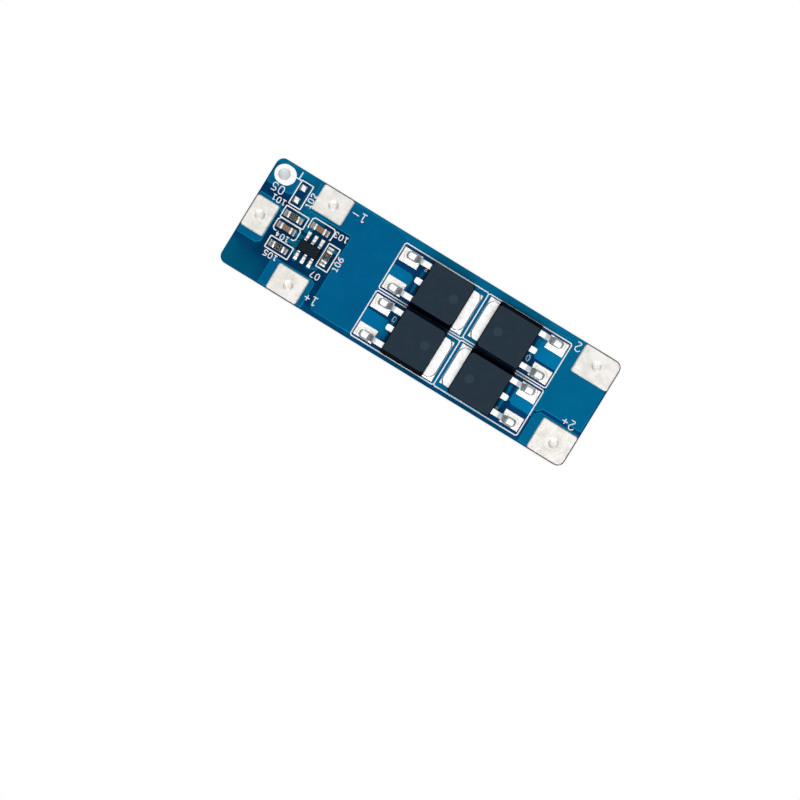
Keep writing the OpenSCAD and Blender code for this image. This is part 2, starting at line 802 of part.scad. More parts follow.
// The solder wets no further than the pads.
module transistor_solder(i) {
    color([0.75, 0.75, 0.74]) at_transistor(i) intersection() {
        union() {
            fet_foot_solder(1);
            fet_foot_solder(-1);
            fet_plate_solder();
        }
        translate([0, 0, -solder_t]) linear_extrude(plate_t + solder_t) fet_pads2d();
    }
}

// ---------------------------------------------------------------- controller

module controller_pin() {
    rotate(90) gull_lead(pin_reach, controller_w / 2, pin_inside, pin_exit, pin_foot_l, pin_w, pin_t,
        pin_bend_r, pin_slope);
}

module controller_leads() {
    color([0.9, 0.9, 0.9]) translate([0, 0, seat_z]) at_controller() at_pins() controller_pin();
}

module controller_moulding() {
    part_z = pin_exit + pin_t / 2;
    half_l = controller_l / 2;
    half_w = controller_w / 2;
    d = controller_draft;
    intersection() {
        translate([0, half_w + 1, 0]) rotate([90, 0, 0]) linear_extrude(controller_w + 2)
            polygon([[-half_l + d, controller_standoff], [half_l - d, controller_standoff],
                [half_l, part_z], [half_l - d, controller_h], [-half_l + d, controller_h],
                [-half_l, part_z]]);
        translate([-half_l - 1, 0, 0]) rotate([90, 0, 90]) linear_extrude(controller_l + 2)
            polygon([[-half_w + d, controller_standoff], [half_w - d, controller_standoff],
                [half_w, part_z], [half_w - d, controller_h], [-half_w + d, controller_h],
                [-half_w, part_z]]);
    }
}

module controller_body() {
    color([0.13, 0.16, 0.19]) translate([0, 0, seat_z]) at_controller() difference() {
        controller_moulding();
        at_pins() controller_pin();
    }
}

module controller_solder() {
    color([0.85, 0.85, 0.84]) translate([0, 0, seat_z]) at_controller() at_pins() {
        translate([0, 0, -solder_t]) linear_extrude(solder_t)
            box2d(-pin_pad_w / 2, pin_pad_w / 2, -pin_pad_outer, -pin_pad_inner);
        translate([pin_w / 2, -pin_reach, 0]) rotate(90) fillet_bar(pin_w, toe_fillet_r);
    }
}

// ---------------------------------------------------------------- chip parts

module chip_block(l, w, z0, z1) {
    translate([-l / 2, -w / 2, z0]) cube([l, w, z1 - z0]);
}

module resistor_core() {
    chip_block(chip_l - 2 * terminal_t, chip_w, terminal_t, resistor_h - terminal_t);
}

module capacitor_core() {
    chip_block(chip_l - 2 * terminal_t, chip_w - 2 * terminal_t, terminal_t, capacitor_h - terminal_t);
}

module on_seat(place) {
    translate([0, 0, seat_z]) at_chip(place) children();
}

module resistor_body(i) {
    color([0.92, 0.9, 0.86]) on_seat(resistor_places[i]) resistor_core();
}

// The black glaze over the resistive film, between the terminals
module resistor_glaze(i) {
    top = resistor_h - terminal_t;
    color([0.07, 0.08, 0.08]) on_seat(resistor_places[i])
        chip_block(chip_l - 2 * terminal_l, chip_w - 2 * glaze_margin, top, top + glaze_t);
}

module chip_terminals(h) {
    for (side = [0, 180]) rotate(side)
        translate([chip_l / 2 - terminal_l, -chip_w / 2, 0]) cube([terminal_l, chip_w, h]);
}

module resistor_terminals(i) {
    color([0.82, 0.82, 0.8]) on_seat(resistor_places[i]) difference() {
        chip_terminals(resistor_h);
        resistor_core();
    }
}

module capacitor_body(i) {
    color([0.6, 0.46, 0.38]) on_seat(capacitor_places[i]) capacitor_core();
}

module capacitor_terminals(i) {
    color([0.82, 0.82, 0.8]) on_seat(capacitor_places[i]) difference() {
        chip_terminals(capacitor_h);
        capacitor_core();
    }
}

// Solder under one chip's two ends, with a hollow fillet up each end face
module chip_joint() {
    for (side = [0, 180]) rotate(side) {
        translate([0, 0, -solder_t]) linear_extrude(solder_t)
            box2d(chip_l / 2 - terminal_l, chip_l / 2 + chip_pad_over, -chip_w / 2, chip_w / 2);
        translate([chip_l / 2, chip_w / 2, 0]) rotate(180) fillet_bar(chip_w, chip_fillet_r);
    }
}

// The solder left on an empty pad draws up into a dome
module solder_dome() {
    half = spare_pad_w / 2;
    rise = spare_dome_h - spare_dome_edge;
    ball_r = (half * half * 2 + rise * rise) / (2 * rise);
    intersection() {
        translate([-half, -half, 0]) cube([spare_pad_w, spare_pad_w, spare_dome_h]);
        translate([0, 0, spare_dome_h - ball_r]) sphere(ball_r, $fn = 96);
    }
}

module chip_solder() {
    color([0.85, 0.85, 0.84]) {
        for (place = all_chip_places) on_seat(place) chip_joint();
        translate([0, 0, solder_z]) at_chip(spare_place)
            for (side = [-1, 1]) translate([side * spare_pad_w, 0]) solder_dome();
    }
}

// ---------------------------------------------------------------- printed frames

frame_gap = 0.22;
frame_cut = 0.18;
split_gap = 0.33;
frame_edge_gap = [0.6, 1.12];
frame_bottom = plus_y + frame_edge_gap[0];
frame_top = minus_y - frame_edge_gap[1];
chip_frame_extra = [0.65, 0.82];
chip_frame_l = chip_l + 2 * chip_pad_over + chip_frame_extra[0];
chip_frame_w = chip_w + chip_frame_extra[1];
frame_corner = 0.05;
open_frame_cut = 0.25;
capacitor_openings = [2.1, 3.0];
spare_frame = [3.3, 1.65];

module bank_frame2d(i) {
    col = column(i);
    split = column_y(col);
    outer = lead_reach + lead_pad_over + frame_gap;
    x0 = col == 0 ? left_column_x - outer : bank_x;
    x1 = col == 0 ? bank_x : right_column_x + outer;
    y0 = i % 2 == 0 ? split + split_gap / 2 : frame_bottom;
    y1 = i % 2 == 0 ? frame_top : split - split_gap / 2;
    frame2d(x0, x1, y0, y1, frame_cut);
}

module chip_frame2d(cut) {
    frame2d(-chip_frame_l / 2, chip_frame_l / 2, -chip_frame_w / 2, chip_frame_w / 2, cut);
}

// A frame that is left open along the middle of its lower side
module open_chip_frame2d(open_l) {
    difference() {
        chip_frame2d(open_frame_cut);
        box2d(-open_l / 2, open_l / 2, -chip_frame_w / 2 - ink_w, -chip_frame_w / 2 + ink_w);
    }
}

// The mark beside the wire hole: a line out of the ring and one up from it
mark_under = 0.1;
mark_l = 0.75;
mark_post_x = 0.3;
mark_post_l = 0.95;
mark_y = 0.4;

module hole_mark2d() {
    translate([left_x + hole_from_end + ring_r + ring_stretch, minus_y - hole_from_edge + mark_y]) {
        stroke([[-mark_under, 0], [mark_l, 0]], ink_w);
        stroke([[mark_post_x, 0], [mark_post_x, mark_post_l]], ink_w);
    }
}

module frames2d() {
    half = spare_frame / 2;
    for (i = FETS) bank_frame2d(i);
    for (i = RESISTORS)
        translate(resistor_frame_shifts[i]) at_chip(resistor_places[i]) chip_frame2d(frame_corner);
    for (i = CAPACITORS)
        translate(capacitor_frame_shifts[i]) at_chip(capacitor_places[i])
            open_chip_frame2d(capacitor_openings[i]);
    translate(spare_frame_shift) at_chip(spare_place)
        frame2d(-half[0], half[0], -half[1], half[1], frame_corner);
    hole_mark2d();
}

module legend_frames() {
    color("white") {
        translate([0, 0, top_z]) linear_extrude(ink_t) difference() {
            frames2d();
            top_pours2d();
            tracks2d();
            all_pads2d();
        }
        translate([0, 0, top_z + copper_t]) linear_extrude(ink_t) difference() {
            intersection() {
                frames2d();
                union() {
                    top_pours2d();
                    tracks2d();
                }
            }
            all_pads2d();
        }
    }
}

// ---------------------------------------------------------------- nodes

laminate();
top_pours();
masked_tracks();
bottom_pours();
wire_hole_plating();
for (i = [0:len(TABS) - 1]) {
    nickel_tab(i);
    nickel_tab_pad(i);
}
for (i = FETS) {
    name = str("transistor_", i + 1);
    transistor_body(i);
    transistor_drain_plate(i);
    transistor_lead(i, 1);
    transistor_lead(i, -1);
    transistor_pads(i);
    transistor_solder(i);
}
controller_body();
controller_leads();
controller_solder();
for (i = RESISTORS) {
    name = str("resistor_", i + 1);
    resistor_body(i);
    resistor_glaze(i);
    resistor_terminals(i);
}
for (i = CAPACITORS) {
    name = str("capacitor_", i + 1);
    capacitor_body(i);
    capacitor_terminals(i);
}
signal_pads();
chip_solder();
legend_frames();
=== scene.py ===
"""Looks of the battery management board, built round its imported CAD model."""
import json
import math

import bmesh
import bpy
from mathutils import Matrix, Vector, noise
from mathutils.bvhtree import BVHTree
from mathutils.geometry import convex_hull_2d


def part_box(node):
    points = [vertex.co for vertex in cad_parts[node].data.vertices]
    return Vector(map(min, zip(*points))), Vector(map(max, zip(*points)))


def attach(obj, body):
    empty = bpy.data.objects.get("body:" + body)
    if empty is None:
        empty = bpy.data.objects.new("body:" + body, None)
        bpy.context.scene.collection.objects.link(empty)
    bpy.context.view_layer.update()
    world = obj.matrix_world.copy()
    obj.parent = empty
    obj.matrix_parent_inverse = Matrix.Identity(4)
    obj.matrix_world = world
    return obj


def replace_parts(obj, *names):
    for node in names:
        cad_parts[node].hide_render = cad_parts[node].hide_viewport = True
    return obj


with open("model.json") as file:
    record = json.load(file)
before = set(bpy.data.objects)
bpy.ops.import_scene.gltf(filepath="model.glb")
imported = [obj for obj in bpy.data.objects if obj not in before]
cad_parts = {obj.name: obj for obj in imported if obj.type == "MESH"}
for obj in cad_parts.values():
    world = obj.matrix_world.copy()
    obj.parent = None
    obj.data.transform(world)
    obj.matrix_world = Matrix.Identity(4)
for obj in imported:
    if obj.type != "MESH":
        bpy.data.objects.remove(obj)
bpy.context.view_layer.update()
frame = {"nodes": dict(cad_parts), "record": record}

MM = 0.001
CAD = frame["nodes"]
SLOT_OF = {s["node"]: s["material_slot"] for s in frame["record"]["subparts"]}
TRANSISTORS = [f"transistor_{i}" for i in range(1, 5)]
RESISTORS = [f"resistor_{i}" for i in range(1, 4)]
CAPACITORS = [f"capacitor_{i}" for i in range(1, 3)]
TABS = ["end_tab", "pack_minus_tab", "pack_plus_tab", "battery_minus_tab", "battery_plus_tab"]


# ---------------------------------------------------------------- measures from the frame

def box_mm(node):
    """The node's lowest and highest corners, in millimetres."""
    low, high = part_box(node)
    return low / MM, high / MM


BOARD_LOW, BOARD_HIGH = box_mm("laminate")
LEFT, RIGHT = BOARD_LOW.x, BOARD_HIGH.x
FRONT, BACK = BOARD_LOW.y, BOARD_HIGH.y
CORE_TOP = BOARD_HIGH.z
PAD_TOP = box_mm("signal_pads")[1].z
TRANSISTOR_TOP = box_mm("transistor_1_body")[1].z
FEET_LEFT, FEET_RIGHT = box_mm("transistor_1_pads")[0].x, box_mm("transistor_3_pads")[1].x
TIPS_LEFT, TIPS_RIGHT = box_mm("transistor_1_gate_lead")[0].x, box_mm("transistor_3_gate_lead")[1].x

CONTROL_END = -11  # where the controller's part of the board ends
INK_RISE = 0.02
EJECTOR_DEPTH = 0.04
LEVEL = 0.99  # a normal's share of Z from which a face counts as level
CLOSE = 0.001  # heights nearer than this are the same height
WELD = 0.0005  # points nearer than this are one point


# ---------------------------------------------------------------- materials

def srgb(red, green, blue):
    """A colour written as 0 to 255 on a screen, as the linear colour that a shader takes."""
    def linear(v):
        v /= 255
        return v / 12.92 if v <= 0.04045 else ((v + 0.055) / 1.055) ** 2.4
    return linear(red), linear(green), linear(blue), 1.0


class Shader:
    """A Principled material and short ways to wire it up. Sizes of patterns are in millimetres."""

    def __init__(self, name, metallic=0.0, roughness=0.5, specular=0.5, tint=(1, 1, 1, 1), ior=1.5):
        self.material = bpy.data.materials.new(name)
        self.material.use_nodes = True
        self.nodes = self.material.node_tree.nodes
        self.links = self.material.node_tree.links
        self.bsdf = self.nodes["Principled BSDF"]
        self.bsdf.inputs["Metallic"].default_value = metallic
        self.bsdf.inputs["Roughness"].default_value = roughness
        self.bsdf.inputs["Specular IOR Level"].default_value = specular
        self.bsdf.inputs["Specular Tint"].default_value = tint
        self.bsdf.inputs["IOR"].default_value = ior
        self.place = self.nodes.new("ShaderNodeTexCoord").outputs["Object"]

    def join(self, value, socket):
        """Gives a socket its value: another node's output, or a plain number or colour."""
        if isinstance(value, bpy.types.NodeSocket):
            self.links.new(value, socket)
        else:
            socket.default_value = value

    def noise(self, size, detail=3.0, roughness=0.5, stretch=(1, 1, 1), distortion=0.0):
        """Noise from 0 to 1 whose blotches are about size millimetres across."""
        mapping = self.nodes.new("ShaderNodeMapping")
        mapping.inputs["Scale"].default_value = [s / (size * MM) for s in stretch]
        self.links.new(self.place, mapping.inputs["Vector"])
        node = self.nodes.new("ShaderNodeTexNoise")
        node.inputs["Scale"].default_value = 1.0
        node.inputs["Detail"].default_value = detail
        node.inputs["Roughness"].default_value = roughness
        node.inputs["Distortion"].default_value = distortion
        self.links.new(mapping.outputs["Vector"], node.inputs["Vector"])
        return node.outputs["Fac"]

    def range(self, value, low, high, to_low=0.0, to_high=1.0, smooth=False):
        """The value carried over from low..high to to_low..to_high, held beyond both ends."""
        node = self.nodes.new("ShaderNodeMapRange")
        node.interpolation_type = "SMOOTHSTEP" if smooth else "LINEAR"
        self.join(value, node.inputs["Value"])
        node.inputs["From Min"].default_value = low
        node.inputs["From Max"].default_value = high
        node.inputs["To Min"].default_value = to_low
        node.inputs["To Max"].default_value = to_high
        return node.outputs["Result"]

    def math(self, operation, a, b=0.5):
        """Arithmetic on one or two values; an operation that takes one leaves b alone."""
        node = self.nodes.new("ShaderNodeMath")
        node.operation = operation
        self.join(a, node.inputs[0])
        self.join(b, node.inputs[1])
        return node.outputs["Value"]

    def mix(self, share, a, b):
        """Colour a where share is 0, colour b where it is 1."""
        node = self.nodes.new("ShaderNodeMix")
        node.data_type = "RGBA"
        self.join(share, node.inputs["Factor"])
        self.join(a, node.inputs["A"])
        self.join(b, node.inputs["B"])
        return node.outputs["Result"]

    def axis(self, name, source=None):
        """X, Y or Z of the object's own place in metres, or of another vector."""
        node = self.nodes.new("ShaderNodeSeparateXYZ")
        self.links.new(source or self.place, node.inputs["Vector"])
        return node.outputs[name]

    def level(self):
        """1 where the surface faces straight up or down, 0 where it is upright."""
        geometry = self.nodes.new("ShaderNodeNewGeometry")
        return self.math("ABSOLUTE", self.axis("Z", geometry.outputs["Normal"]))

    def in_gaps(self):
        """1 in the deep narrow gaps between the transistors of a column, where shade is painted, 0
        elsewhere.
        """
        margin = 0.1
        total = 0.0
        for one, other in (TRANSISTORS[:2], TRANSISTORS[2:]):
            low, high = box_mm(one + "_body")
            under, over = box_mm(other + "_body")
            y0, y1 = (over.y, low.y) if over.y < low.y else (high.y, under.y)
            gap = self.inside(low.x + margin, high.x - margin, y0 - margin, y1 + margin, soft=0.15)
            total = self.math("ADD", gap, total)
        return total

    def before_bends(self):
        """1 on the transistors' leads just before they bend down, where shade is painted, 0 elsewhere.
        """
        bend = 1.5
        left_l, right_l = 0.45, 0.7
        one = self.inside(TIPS_LEFT + bend, TIPS_LEFT + bend + left_l, FRONT, BACK, soft=0.35)
        other = self.inside(TIPS_RIGHT - bend - right_l, TIPS_RIGHT - bend, FRONT, BACK, soft=0.35)
        return self.math("ADD", one, other)

    def inside(self, x0, x1, y0, y1, soft=0.4, soft_y=None):
        """1 inside that box of the plan, in millimetres, fading to 0 over soft outside it."""
        edges = []
        for v, a, b, fade in ((self.axis("X"), x0, x1, soft), (self.axis("Y"), y0, y1, soft_y or soft)):
            edges.append(self.range(v, (a - fade) * MM, a * MM, smooth=True))
            edges.append(self.range(v, b * MM, (b + fade) * MM, 1.0, 0.0, smooth=True))
        product = edges[0]
        for edge in edges[1:]:
            product = self.math("MULTIPLY", product, edge)
        return product

    def bump(self, height, depth, strength=1.0):
        """Relief whose full height is depth millimetres."""
        node = self.nodes.new("ShaderNodeBump")
        node.inputs["Strength"].default_value = strength
        node.inputs["Distance"].default_value = depth * MM
        self.links.new(height, node.inputs["Height"])
        self.links.new(node.outputs["Normal"], self.bsdf.inputs["Normal"])

    def colour(self, value):
        self.join(value, self.bsdf.inputs["Base Color"])

    def roughness(self, value):
        self.join(value, self.bsdf.inputs["Roughness"])


MASK_GLINT = {"specular": 0.8, "tint": srgb(30, 205, 255)}
MASK_THIN = srgb(0, 118, 168)
MASK_THICK = srgb(0, 40, 74)
# pale cyan of the mask's slopes over copper edges: partly the thinner mask there, partly a painted
# highlight
MASK_THIN_OVER_STEP_AND_HIGHLIGHT = srgb(8, 140, 168)
# painted shade for the mask and the ink in the deep gaps between the transistors
DEEP_SHADE = srgb(2, 34, 66)
POUR_LEFT, POUR_RIGHT = srgb(0, 82, 133), srgb(0, 94, 139)
TRACK_TEAL = srgb(0, 80, 110)
LINK_LEFT, LINK_RIGHT = srgb(0, 105, 160), srgb(0, 118, 173)
GLASS, RESIN = srgb(150, 142, 96), srgb(198, 190, 146)
FLUX_LIGHT, FLUX_DARK, CLEAN_TIN = srgb(150, 118, 92), srgb(104, 80, 62), srgb(214, 212, 208)
# painted sheen on the floor of the ejector mark
EJECTOR_SHINE = srgb(48, 68, 80)
# painted shade on the leads just short of their bends
BEND_SHADE = srgb(152, 163, 168)


def mask_surface(shader, colour, cloudy=0.16):
    """The skin of the solder mask: slight cloudiness, an orange-peel relief, pale over a step, partly as
    thinner mask and partly as a painted highlight, and painted shade in the deep gaps.
    """
    cloud = shader.noise(2.5, detail=4)
    grain = shader.noise(0.16, detail=2)
    sloping = shader.range(shader.level(), 0.95, 0.9995, 0.85, 0.0)
    tone = shader.mix(shader.range(cloud, 0.35, 0.65, 0.0, cloudy), colour, MASK_THIN)
    tone = shader.mix(shader.range(grain, 0.3, 0.8, 0.0, 0.10), tone, MASK_THICK)
    # painted highlight: faces that slope over a copper edge turn pale cyan, partly as the thinner mask
    # there
    tone = shader.mix(sloping, tone, MASK_THIN_OVER_STEP_AND_HIGHLIGHT)
    # painted shade: the mask darkens in the deep gaps between the transistors
    gap = shader.in_gaps()
    shader.colour(shader.mix(gap, tone, DEEP_SHADE))
    shader.roughness(shader.math("MAXIMUM", gap, shader.range(cloud, 0.3, 0.7, 0.2, 0.3)))
    shader.bump(shader.noise(0.3, detail=2), 0.004)


def pour_tone(shader):
    """The mask's colour over the pours: a little lighter toward the battery end."""
    along = shader.range(shader.axis("X"), -2 * MM, 16 * MM, smooth=True)
    return shader.mix(along, POUR_LEFT, POUR_RIGHT)


def pour_material():
    """Mask over the broad copper on top."""
    shader = Shader("mask_on_copper", **MASK_GLINT)
    mask_surface(shader, pour_tone(shader))
    return shader.material


def track_material():
    """Mask over narrow copper: teal round the controller, bright inside the transistors' frames."""
    shader = Shader("mask_on_tracks", **MASK_GLINT)
    control_area = shader.inside(LEFT, CONTROL_END, FRONT, BACK)
    colour = shader.mix(control_area, pour_tone(shader), TRACK_TEAL)
    margin = 0.25
    bank = shader.inside(FEET_LEFT - margin, FEET_RIGHT + margin, FRONT, BACK, soft=0.02)
    along = shader.range(shader.axis("X"), FEET_LEFT * MM, FEET_RIGHT * MM)
    mask_surface(shader, shader.mix(bank, colour, shader.mix(along, LINK_LEFT, LINK_RIGHT)))
    return shader.material


def underside_material():
    """Mask over the copper below."""
    shader = Shader("mask_under_board", **MASK_GLINT)
    mask_surface(shader, srgb(0, 95, 141))
    return shader.material


# Where the mask on bare laminate has its own tone: the box of the plan, how softly its edges fade,
# and the tone. A later zone lies over an earlier one.
SHARP = (0.4,)
LAMINATE_ZONES = {
    "pack end": ((LEFT, -8, FRONT, BACK), SHARP, srgb(0, 32, 84)),
    "along the minus edge": ((LEFT, RIGHT, 6.75, BACK), SHARP, srgb(0, 103, 146)),
    "along the plus edge": ((LEFT, RIGHT, FRONT, -6.95), SHARP, srgb(0, 61, 109)),
    "end of the free corner": ((LEFT, LEFT, FRONT, -5), (3.0, 1.5), srgb(0, 80, 116)),
    "round the free corner": ((LEFT, -22, FRONT, -6.8), (5.0, 3.5), srgb(0, 80, 114)),
    "under the controller": ((-21.2, -12.6, -3.9, 3.0), (1.0,), srgb(0, 14, 66)),
    "beside the pack minus tab": ((-19.5, -16, 2.6, BACK), SHARP, srgb(0, 90, 124)),
}


def laminate_material():
    """Mask over bare laminate above and below; the cut edge shows the glass layers."""
    shader = Shader("mask_on_laminate", specular=0.4, tint=MASK_GLINT["tint"])
    colour = srgb(8, 44, 104)
    for box, soft, tint in LAMINATE_ZONES.values():
        colour = shader.mix(shader.inside(*box, *soft), colour, tint)
    mask_surface(shader, colour, cloudy=0.08)
    skin = shader.bsdf.inputs["Base Color"].links[0].from_socket
    layers = shader.noise(1.0, detail=2, stretch=(0.12, 0.12, 7))
    edge = shader.mix(shader.range(layers, 0.35, 0.65), GLASS, RESIN)
    shader.colour(shader.mix(shader.range(shader.level(), 0.75, 0.95), edge, skin))
    return shader.material


def metal_material(name, colour, shade, rough, blotch=0.5, relief=0.004, bend=None):
    """Bare or tinned metal: cloudy in colour and in polish; bend is a painted shade for where it stands
    steep.

    Metal with a bend also gets a painted shade on the transistors' leads just before they turn down.
    """
    shader = Shader(name, metallic=1.0)
    cloud = shader.noise(blotch, detail=5, roughness=0.6)
    fine = shader.noise(blotch / 6, detail=2)
    tone = shader.mix(shader.range(cloud, 0.42, 0.72), colour, shade)
    if bend:
        bend_shade_share = shader.math("MULTIPLY", shader.before_bends(), 0.75)
        tone = shader.mix(bend_shade_share, tone, BEND_SHADE)
        # painted shade on faces that stand steep
        tone = shader.mix(shader.range(shader.level(), 0.2, 0.85, 1.0, 0.0), tone, bend)
    shader.colour(tone)
    worn = 0.12
    shader.roughness(shader.range(cloud, 0.3, 0.7, rough - worn, rough + worn))
    shader.bump(fine, relief)
    return shader.material


def pad_edge_material():
    """The rim of solder round a tab: clean inside the board, browned by flux along its edges."""
    shader = Shader("fluxed_edge", metallic=1.0)
    cloud = shader.noise(0.5, detail=4, roughness=0.6)
    rim = 0.35
    clean = shader.inside(LEFT + rim, RIGHT - rim, FRONT + rim, BACK - rim, soft=0.08)
    flux = shader.mix(shader.range(cloud, 0.35, 0.7), FLUX_LIGHT, FLUX_DARK)
    shader.colour(shader.mix(clean, flux, CLEAN_TIN))
    shader.join(clean, shader.bsdf.inputs["Metallic"])
    shader.roughness(shader.range(cloud, 0.3, 0.7, 0.35, 0.5))
    shader.bump(cloud, 0.004)
    return shader.material


def nickel_material(name, scratched=False):
    """Pressed nickel: matte, faintly mottled, with small dark specks and, on one tab, scratches."""
    shader = Shader(name, metallic=1.0)
    cloud = shader.noise(1.1, detail=5, roughness=0.65)
    speck = shader.noise(0.32, detail=3, roughness=0.7)
    colour = shader.mix(shader.range(cloud, 0.4, 0.66), srgb(238, 235, 231), srgb(226, 223, 217))
    colour = shader.mix(shader.range(speck, 0.66, 0.74, 0.0, 0.5), colour, srgb(128, 122, 112))
    if scratched:
        lines = shader.noise(0.5, detail=2, stretch=(3.2, 0.22, 1), distortion=0.3)
        colour = shader.mix(shader.range(lines, 0.66, 0.72, 0.0, 0.55), colour, srgb(250, 249, 246))
    shader.colour(colour)
    shader.roughness(shader.range(cloud, 0.3, 0.7, 0.42, 0.56))
    shader.bump(shader.noise(0.09, detail=3), 0.006)
    return shader.material


def moulding_material(name, top, side, mottle, mark=None):
    """Black moulding compound: blasted matte on top, smoother and darker down the sides, where the
    near-black is partly the smoother finish and partly painted shade.

    mark is the span of heights in millimetres that holds the floor of the ejector mark, which gets a
    painted sheen.
    """
    shader = Shader(name, ior=1.25)
    up = shader.range(shader.level(), 0.75, 0.95)
    grain = shader.noise(0.07, detail=3, roughness=0.7)
    cloud = shader.noise(1.2, detail=4, roughness=0.6)
    face = shader.mix(shader.range(cloud, 0.4, 0.68, 0.0, 0.5), top, mottle)
    face = shader.mix(shader.range(grain, 0.35, 0.75, 0.0, 0.35), face, side)
    if mark:
        fade = 0.002
        height = shader.axis("Z")
        over = shader.range(height, (mark[0] - fade) * MM, mark[0] * MM)
        under = shader.range(height, mark[1] * MM, (mark[1] + fade) * MM, 1.0, 0.0)
        face = shader.mix(shader.math("MULTIPLY", over, under), face, EJECTOR_SHINE)
    # the sides take the side colour by their slope: partly a smoother finish, partly painted shade
    shader.colour(shader.mix(up, side, face))
    shader.roughness(shader.range(up, 0.0, 1.0, 0.6, 0.8))
    shader.join(shader.range(up, 0.0, 1.0, 0.03, 0.5), shader.bsdf.inputs["Specular IOR Level"])
    shader.bump(grain, 0.006, strength=0.8)
    return shader.material


def ceramic_material(name, colour, shade, rough=0.5, specular=0.5):
    """Fired or printed skin of a chip part, with a fine grain of two tones."""
    shader = Shader(name, specular=specular)
    grain = shader.noise(0.12, detail=4, roughness=0.65)
    shader.colour(shader.mix(shader.range(grain, 0.35, 0.65), colour, shade))
    shader.roughness(shader.range(grain, 0.3, 0.7, rough - 0.08, rough + 0.08))
    shader.bump(grain, 0.003)
    return shader.material


def ink_material():
    """White legend ink: opaque, a little thin in places, with painted shade in the deep gaps."""
    shader = Shader("white_ink", specular=0.3)
    thin = shader.noise(0.12, detail=3, roughness=0.7)
    full, worn = srgb(254, 254, 254), srgb(205, 225, 235)
    tone = shader.mix(shader.range(thin, 0.62, 0.8, 0.0, 0.4), full, worn)
    shader.colour(shader.mix(shader.in_gaps(), tone, DEEP_SHADE))
    shader.roughness(shader.range(thin, 0.3, 0.7, 0.5, 0.65))
    shader.bump(thin, 0.003)
    return shader.material


MATERIALS = {
    "mask_on_laminate": laminate_material(),
    "mask_on_copper": pour_material(),
    "mask_on_tracks": track_material(),
    "mask_under_board": underside_material(),
    "bright_tin": metal_material(
        "bright_tin", srgb(252, 252, 252), srgb(238, 237, 235), 0.42, 0.35),
    "nickel": nickel_material("nickel"),
    "fluxed_edge": pad_edge_material(),
    "transistor_moulding": moulding_material(
        "transistor_moulding", srgb(39, 58, 73), srgb(1, 5, 15), srgb(51, 61, 71),
        mark=(TRANSISTOR_TOP - EJECTOR_DEPTH * 1.5, TRANSISTOR_TOP - EJECTOR_DEPTH * 0.5)),
    "plated_lead": metal_material(
        "plated_lead", srgb(252, 252, 252), srgb(240, 240, 239), 0.42, 0.8, 0.002,
        bend=srgb(156, 162, 166)),
    "solder": metal_material(
        "solder", srgb(248, 247, 245), srgb(222, 220, 215), 0.36, 0.3, 0.003),
    "chip_moulding": moulding_material(
        "chip_moulding", srgb(22, 36, 44), srgb(12, 17, 22), srgb(28, 39, 46)),
    "alumina": ceramic_material("alumina", srgb(232, 228, 218), srgb(214, 209, 198)),
    "black_glaze": ceramic_material(
        "black_glaze", srgb(12, 12, 13), srgb(20, 21, 22), 0.4, 0.25),
    "terminal_tin": metal_material(
        "terminal_tin", srgb(244, 240, 234), srgb(196, 186, 174), 0.32, 0.25),
    "brown_ceramic": ceramic_material(
        "brown_ceramic", srgb(158, 118, 98), srgb(138, 102, 84), 0.55),
    "white_ink": ink_material(),
}
SCRATCHED_NICKEL = nickel_material("scratched_nickel", scratched=True)


# ---------------------------------------------------------------- meshes

def new_piece(name, bm, slot, material=None, smooth=35):
    """Turns a bmesh in millimetres into a piece on the board, with a record slot's finish."""
    mesh = bpy.data.meshes.new(name)
    bm.to_mesh(mesh)
    bm.free()
    mesh.transform(Matrix.Scale(MM, 4))
    mesh.shade_smooth()
    mesh.set_sharp_from_angle(angle=math.radians(smooth))
    piece = bpy.data.objects.new(name, mesh)
    bpy.context.scene.collection.objects.link(piece)
    mesh.materials.append(material or MATERIALS[slot])
    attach(piece, "root")
    return piece


def welded(node):
    """A CAD node's mesh in millimetres, with its triangles joined up."""
    bm = bmesh.new()
    bm.from_mesh(CAD[node].data)
    bmesh.ops.scale(bm, vec=(1 / MM,) * 3, verts=bm.verts)
    bmesh.ops.remove_doubles(bm, verts=bm.verts, dist=WELD)
    return bm


def node_bmesh(node):
    """A CAD node's welded mesh, with its flat faces whole again."""
    bm = welded(node)
    bmesh.ops.dissolve_limit(bm, angle_limit=math.radians(0.5), verts=bm.verts, edges=bm.edges)
    bm.normal_update()
    return bm


def sharp_edges(bm, angle):
    """The edges whose two faces meet at more than angle degrees."""
    limit = math.radians(angle)
    return [e for e in bm.edges if len(e.link_faces) == 2 and e.calc_face_angle(0) > limit]


def bevel(bm, edges, radius, segments):
    """Rounds those edges off by radius millimetres, as far as the faces beside them allow."""
    bmesh.ops.bevel(bm, geom=edges, offset=radius, offset_type="OFFSET", segments=segments,
                    profile=0.5, affect="EDGES", clamp_overlap=True)


def sliced(bm, point, normal, clear_outer=False):
    """Cuts the whole mesh at a plane and returns what the cut made."""
    return bmesh.ops.bisect_plane(bm, geom=bm.verts[:] + bm.edges[:] + bm.faces[:], dist=0.0001,
                                  plane_co=point, plane_no=normal,
                                  clear_outer=clear_outer)["geom_cut"]


def turn_corners(bm, radius, where=lambda x: True):
    """Rounds the upright corners whose x passes where."""
    def upright(edge):
        a, b = (v.co for v in edge.verts)
        return abs(a.z - b.z) > 0.85 * (a - b).length and where(a.x) and where(b.x)
    bevel(bm, [e for e in sharp_edges(bm, 30) if upright(e)], radius, segments=5)


